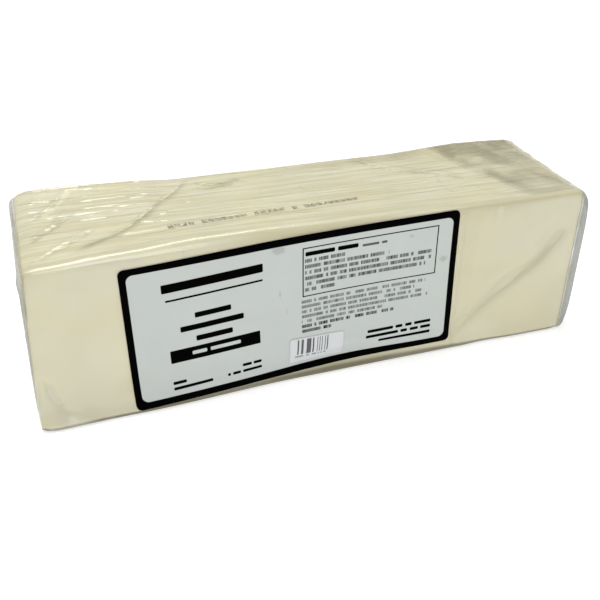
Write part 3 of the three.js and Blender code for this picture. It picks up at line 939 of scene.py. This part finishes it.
def wrinkled(x, y, z, out_y, out_z, close):
    """Relief of the film's own folds, out from the loaf."""
    on_top = np.clip(out_z, 0, 1) ** 2 * (close == 0)
    on_side = np.abs(out_y) ** 2 * (close == 0)
    left = smoothstep((34 - x) / 30)
    right = smoothstep((x - 236) / 12)
    top = top_wrinkles(x, y) + (0.02 + 0.12 * left + 0.16 * right) * ripples(x, y, 3, 9, 5, 16)
    side = 0.03 * ripples(x, z, 4, 9, 8, 30)
    return on_top * top + on_side * side


def film_place(rings, section, lift):
    """Places on the film over the straight loaf, lifted off it along the way out."""
    ring_x, inset, close, sunk = rings
    y0, z0, out_y, out_z = section
    rise = inset * at_end(ring_x, *FOOT_SHARES)
    fall = inset * at_end(ring_x, *FILM_TOP_SHARES)
    side = END_SHARPNESS * inset
    y = side + y0 * (1 - 2 * side / LOAF_DEPTH) + out_y * lift
    z = rise + z0 * (1 - (rise + fall) / SLICE_HEIGHT) + out_z * lift
    y = y + (LOAF_DEPTH / 2 - y) * close
    z = z + (SLICE_HEIGHT / 2 - z) * close
    corner = np.abs(2 * z0 / SLICE_HEIGHT - 1) ** 7 * (inset / END_RADIUS) ** 2
    right_corner = np.where(z0 > SLICE_HEIGHT / 2, RIGHT_TOP_CORNER, RIGHT_FOOT_CORNER)
    depth = at_end(ring_x, LEFT_CORNER, right_corner)
    x = ring_x + at_end(ring_x, 1, -1) * np.maximum(depth * corner, sunk)
    loose = (LOOSE_UPWARD * z0 / SLICE_HEIGHT + LOOSE_TOP * hump(z0, 86, 6)) * inset / END_RADIUS
    x = x - at_end(ring_x, loose, 0) * (1 - smoothstep(close / 0.14))
    return x, y, z


def settled_grid(x, y, z):
    return settle(np.column_stack([x.ravel(), y.ravel(), z.ravel()]))


def film_lift(surface, rings, section):
    """How far out the film lies to pass over the slices, with its own wrinkles."""
    _, inset, close, _ = rings
    _, _, out_y, out_z = section
    x, y, z = film_place(rings, section, np.zeros((inset.size, out_y.size)))
    bare = settled_grid(x, y, z)
    far = settled_grid(x, y + 6 * out_y, z + 6 * out_z)
    lift = np.zeros(len(bare))
    usable = (close < 0.01) & (inset < END_RADIUS * 0.35) & (out_z > -0.5)
    for i in np.nonzero(usable.ravel())[0]:
        start, way = far[i], bare[i] - far[i]
        length = np.linalg.norm(way)
        hit = surface.ray_cast(Vector(start), Vector(way / length), 12.0)
        if hit[0] is not None:
            lift[i] = length - hit[3]
    lift = np.clip(lift, -3.5, 1.2).reshape(usable.shape)
    lift = soften(spread_out(lift, 1, closed=True), 1, 1, closed=True)
    lift = soften(spread_out(lift, 0), 2, 0)
    lift = (lift + FILM_CLEARANCE) * usable + 0.05
    return lift + wrinkled(x, y, z, out_y, out_z, close)


def film_faces(count, around):
    """Faces between the rings, and fans over both ends around the last two points."""
    number = np.arange(count * around).reshape(count, around)
    after = np.roll(number, -1, 1)
    quads = np.dstack([number[:-1], after[:-1], after[1:], number[1:]]).reshape(-1, 4)
    left_hub, right_hub = np.full(around, number.size), np.full(around, number.size + 1)
    left = np.column_stack([left_hub, after[0], number[0]])
    right = np.column_stack([right_hub, number[-1], after[-1]])
    return quads.tolist() + left.tolist() + right.tolist()


def film_haze(rings, section, x, y, z):
    """How cloudy the film is at the rims of its ends, with painted shade as darker cloudiness along
    the wrinkles of the top and in a strip along its back edge.
    """
    ring_x, _, close, _ = rings
    _, _, out_y, out_z = section
    left_end = PRESSED_ENDS[0] + 0.2 + 0.8 * smoothstep((z - 58) / 10)
    beyond = np.maximum(left_end - x, x - LOAF_LENGTH + 0.6)
    right_rim = np.where(out_y < -0.5, RIGHT_FRONT_RIM_HAZE, RIGHT_RIM_HAZE)
    rim = at_end(ring_x, LEFT_RIM_HAZE, right_rim) * (close < 0.01)
    haze = BODY_HAZE + smoothstep(beyond / 0.9) * (0.1 + rim)
    on_top = (out_z > 0.9) & (close == 0)
    back_edge_shade = BACK_EDGE_SHADE * smoothstep((y - 60) / 16) * hump(x, 203, 42)
    return haze + on_top * (back_edge_shade + wrinkle_haze(x, y))


def wrapped_film(surface, material):
    """Clear film drawn over the slices, and its points and faces for laying other pieces on it."""
    across, along = film_section(), film_rings()
    rings = [column[:, None] for column in along.T]
    section = [column[None, :] for column in across.T]
    x, y, z = film_place(rings, section, film_lift(surface, rings, section))
    z = np.maximum(z, 0)
    hubs = [
        (end_x, LOAF_DEPTH / 2, SLICE_HEIGHT / 2)
        for end_x in (along[0][0] + along[0][3], along[-1][0] - along[-1][3])
    ]
    points = np.vstack([settled_grid(x, y, z), settle(hubs)])
    faces = film_faces(len(along), len(across))
    haze = film_haze(rings, section, x, y, z)
    haze = np.concatenate([haze.ravel(), [END_HAZE, END_HAZE]])
    return mesh_piece("film", points, faces, material, haze=haze), points, faces


def laid_on(tree, points, way, gap):
    """Points moved along a way until they are a gap short of the surface in a tree."""
    way = Vector(way)
    placed = []
    for p in points:
        hit = tree.ray_cast(Vector(p) - way * 30, way, 80.0)
        placed.append(hit[0] - way * gap if hit[0] else Vector(p))
    return np.array(placed)


def thin_sheet(outer, columns, rows, way, thickness):
    """Points and faces of a closed sheet of that thickness, from its outer face row by row."""
    size = len(outer)
    points = np.vstack([outer, outer + np.array(way) * thickness])
    number = np.arange(size).reshape(rows + 1, columns + 1)
    quads = np.dstack([number[:-1, :-1], number[:-1, 1:], number[1:, 1:], number[1:, :-1]])
    quads = quads.reshape(-1, 4)
    rim = np.concatenate([number[0, :-1], number[:-1, -1], number[-1, :0:-1], number[:0:-1, 0]])
    after = np.roll(rim, -1)
    sides = np.column_stack([after, rim, rim + size, after + size])
    return points, np.vstack([quads, size + quads[:, ::-1], sides])


def grid(columns, rows):
    """Shares along both sides of a sheet, row by row."""
    u, v = np.meshgrid(np.linspace(0, 1, columns + 1), np.linspace(0, 1, rows + 1))
    return u.ravel(), v.ravel()


def rounded_grid(width, height, corner, step):
    """Places over a rounded rectangle, row by row from its lower left corner."""
    columns, rows = round(width / step), round(height / step)
    size = np.array([width, height])
    places = np.column_stack(grid(columns, rows)) * size
    middle = np.clip(places, corner, size - corner)
    away = np.maximum(np.hypot(*(places - middle).T), corner)[:, None]
    return middle + (places - middle) * corner / away, columns, rows


def on_label(places):
    """Places on the front of the straight loaf for places on the label."""
    c, s = math.cos(LABEL_TILT), math.sin(LABEL_TILT)
    across, up = places.T
    up = up - LABEL_SAG * up / LABEL_HEIGHT * smoothstep(1 - across / 110)
    across = LABEL_WIDTH / 2 + (across - LABEL_WIDTH / 2) * LABEL_STRETCH
    up = LABEL_HEIGHT / 2 + (up - LABEL_HEIGHT / 2) * LABEL_STRETCH
    return np.column_stack([
        LABEL_FROM_LEFT + across * c - up * s,
        np.zeros(len(across)),
        LABEL_FROM_BOTTOM + across * s + up * c,
    ])


def stuck_on(name, tree, places, printed, columns, rows, gap, material):
    """A printed sheet over the film, at places on the label."""
    outer = laid_on(tree, settle(on_label(places)), (0, 1, 0), gap + LABEL_THICKNESS)
    y = soften(soften(outer[:, 1].reshape(rows + 1, columns + 1), 3, 0), 3, 1)
    outer[:, 1] = np.minimum(y.ravel(), outer[:, 1])
    points, faces = thin_sheet(outer, columns, rows, (0, 1, 0), LABEL_THICKNESS)
    marks = np.column_stack([printed, np.zeros(len(printed))])
    marks = np.vstack([marks, marks])
    return mesh_piece(name, points, faces.tolist(), material, print=marks)


def label_sheet(tree):
    places, columns, rows = rounded_grid(LABEL_WIDTH, LABEL_HEIGHT, LABEL_CORNER, 1.4)
    return stuck_on("label_sheet", tree, places, places, columns, rows, 0.08, label_finish())


def turned_sticker(tree):
    places, columns, rows = rounded_grid(STICKER_WIDTH, STICKER_HEIGHT, 0.8, 1.0)
    middle = np.array([STICKER_WIDTH, STICKER_HEIGHT]) / 2
    c, s = math.cos(STICKER_TURN), math.sin(STICKER_TURN)
    turned = (places - middle) @ np.array([[c, s], [-s, c]])
    turned = turned + middle + (STICKER_LEFT, STICKER_BOTTOM)
    return stuck_on("sticker", tree, turned, places, columns, rows, 0.3, sticker_finish())


def top_flap(tree):
    """Film folded in from the right end and laid over the top."""
    columns, rows = 44, 66
    u, v = grid(columns, rows)
    left = np.interp(v, (0, 0.25, 0.5, 1), FLAP_EDGE) + np.sin(9 * v)
    x = left + (LOAF_LENGTH - 4 - left) * u
    y = 3 + 74 * v
    start = settle(np.column_stack([x, y, np.full(len(x), SLICE_HEIGHT)]))
    outer = laid_on(tree, start, (0, 0, -1), 0.22)
    edge = np.minimum.reduce([u * 8, (1 - u) * 8, v * 10, (1 - v) * 10]).clip(0, 1)
    relief = ripples(x, y, 21, 8, 14, 34)
    outer[:, 2] += edge * (relief - relief.min()) * 0.3
    return thin_sheet(outer, columns, rows, (0, 0, -1), FILM_THICKNESS)


def top_flap_haze(points):
    """Cloudy from the doubled film, with painted shade along the creases and towards the back, painted
    lighter patches where it is clearer, and clear at the flap's own edge.
    """
    x, y = points[:, 0], points[:, 1]
    # Painted shade along the creases, painted lighter patches where a crease's value is negative, and
    # painted shade growing towards the back
    haze = FLAP_HAZE + sum(fold(x, y, line, wide, deep) for line, wide, deep in FLAP_CREASES)
    haze = haze + 0.13 * smoothstep((y - 30) / 50) + 0.05 * ripples(x, y, 61, 9, 12, 40)
    edge = np.interp(y, (3, 21, 40, 77), FLAP_EDGE)
    return np.clip(haze, 0.02, 0.6) * smoothstep((x - edge) / 7)


def end_sheet(tree, side, y, z, columns, rows, seed, gap, relief=0.125):
    """Film folded over an end face, from its places across and up the face."""
    x = np.full(len(y), -1.0 if side < 0 else LOAF_LENGTH + 1.0)
    outer = laid_on(tree, np.column_stack([x, y, z]), (-side, 0, 0), gap)
    bumps = ripples(y, z, seed, 8, 6, 24)
    outer[:, 0] += side * relief * (bumps - bumps.min())
    if side < 0:
        outer = outer.reshape(rows + 1, columns + 1, 3)[:, ::-1].reshape(-1, 3)
    return thin_sheet(outer, columns, rows, (-side, 0, 0), FILM_THICKNESS)


def end_flap(tree, side, from_back, above, seal_height, seed):
    """Half of a pointed flap folded in over an end face from its front or back, above or below
    the seal."""
    columns, rows = 34, 24
    u, v = grid(columns, rows)
    away = u if from_back else 1 - u
    rise = v if above else 1 - v
    reach = 1 + 33 * away ** 1.1
    y = LOAF_DEPTH / 2 + (1 if from_back else -1) * (4 + 33 * away)
    z = seal_height + (1 if above else -1) * (4.9 + reach * rise)
    return end_sheet(tree, side, y, z, columns, rows, seed, 0.2)


def end_seal(tree, side, half_width, height, tall, seed):
    """The crimped seal across an end."""
    columns, rows = 50, 24
    u, v = grid(columns, rows)
    y = LOAF_DEPTH / 2 + (2 * u - 1) * half_width
    z = height + tall * (v - 0.5) + 0.6 * np.sin(5 * u + seed)
    points, faces = end_sheet(tree, side, y, z, columns, rows, seed, 0.3, 0.05)
    points[:, 0] += side * 0.08 * np.sin(2 * math.pi * points[:, 2] / 1.3)
    return points, faces


def folded_film(tree, material):
    """The film's folds: over the right of the top and over both end faces, with their seals."""
    sheets = [top_flap(tree)]
    haze = [top_flap_haze(sheets[0][0])]
    for side, seal_height, half_width in ((1, 44, 33), (-1, 42, 31)):
        sheets.append(end_seal(tree, side, half_width, seal_height, 8, 44 - side))
        for from_back, above in ((False, False), (False, True), (True, False), (True, True)):
            seed = 50 + 10 * side + 2 * from_back + above
            sheets.append(end_flap(tree, side, from_back, above, seal_height, seed))
        for (sheet_points, _), cloud in zip(sheets[-5:], (SEAL_HAZE,) + 4 * (END_FLAP_HAZE,)):
            haze.append(np.full(len(sheet_points), cloud))
    faces, start = [], 0
    for sheet_points, sheet_faces in sheets:
        faces += (sheet_faces + start).tolist()
        start += len(sheet_points)
    points = np.vstack([sheet_points for sheet_points, _ in sheets])
    return mesh_piece("film_folds", points, faces, material, haze=np.concatenate(haze))


# Build the pieces

slices, slice_points = stacked_slices(cheese_finish())
slice_faces = [face.vertices for face in slices.data.polygons]
slice_surface = BVHTree.FromPolygons([Vector(p) for p in slice_points], slice_faces)
film, film_points, faces = wrapped_film(slice_surface, film_finish("clear_film", 1.0))
film_surface = BVHTree.FromPolygons([Vector(p) for p in film_points], faces)
folds = folded_film(film_surface, film_finish("film_folded_over", 0.25))
label = label_sheet(film_surface)
sticker = turned_sticker(film_surface)

for piece, slot_name in (
    (slices, "cheese_in_film"), (film, "clear_film"), (folds, "clear_film"),
    (label, "label_field"), (sticker, "sticker"),
):
    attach(piece, "root")
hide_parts("sealed_pack")
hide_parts("label", "label_border", "label_bar")
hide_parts("barcode_sticker")

# Table, light and camera


def table_finish():
    material, nodes = new_material("white_table")
    speckle = nodes.noise(nodes.add("ShaderNodeTexCoord", output="Object"), 40.0)
    body = nodes.colour(speckle, (0.60, 0.60, 0.60, 1), (0.62, 0.62, 0.62, 1))
    return shown(material, nodes, nodes.principled(
        Base_Color=body, Roughness=0.9, Specular_IOR_Level=0.1, Emission_Color=(1, 1, 1, 1),
        Emission_Strength=0.6,
    ))


def white_table(half_width):
    table = bpy.data.meshes.new("table")
    corners = [(x * half_width, y * half_width, 0) for x, y in ((-1, -1), (1, -1), (1, 1), (-1, 1))]
    table.from_pydata(corners, [], [(0, 1, 2, 3)])
    table.materials.append(table_finish())
    return new_object("table", table)


def soft_light(name, place, width, height, power):
    """A large lamp that shines on the middle of the pack."""
    lamp = bpy.data.lights.new(name, "AREA")
    lamp.shape = "RECTANGLE"
    lamp.size, lamp.size_y, lamp.energy = width, height, power
    holder = new_object(name, lamp)
    holder.location = place
    way = Vector((0, 0, 0.05)) - Vector(place)
    holder.rotation_euler = way.to_track_quat("-Z", "Y").to_euler()


def white_surroundings():
    world = bpy.data.worlds.new("studio")
    world.use_nodes = True
    sky = world.node_tree.nodes["Background"].inputs
    sky["Color"].default_value = (1, 1, 1, 1)
    sky["Strength"].default_value = WORLD_STRENGTH
    bpy.context.scene.world = world
    bpy.context.scene.view_settings.view_transform = "Standard"


def aim_camera():
    sin_a, cos_a = math.sin(CAMERA_AZIMUTH), math.cos(CAMERA_AZIMUTH)
    sin_e, cos_e = math.sin(CAMERA_ELEVATION), math.cos(CAMERA_ELEVATION)
    forward = Vector((sin_a * cos_e, cos_a * cos_e, -sin_e))
    right = Vector((cos_a, -sin_a, 0))
    up = right.cross(forward)
    c, s = math.cos(CAMERA_ROLL), math.sin(CAMERA_ROLL)
    turn = Matrix((c * right + s * up, c * up - s * right, -forward)).transposed().to_4x4()
    data = bpy.data.cameras.new("camera")
    data.lens = LENS
    data.sensor_width = SENSOR_WIDTH
    data.clip_start = 0.01
    camera = new_object("camera", data)
    camera.matrix_world = Matrix.Translation(Vector(CAMERA_AT) * METRES) @ turn
    bpy.context.scene.camera = camera


white_table(20)
for name, lamp_sizes in LAMPS.items():
    soft_light(name, *lamp_sizes)
white_surroundings()
aim_camera()
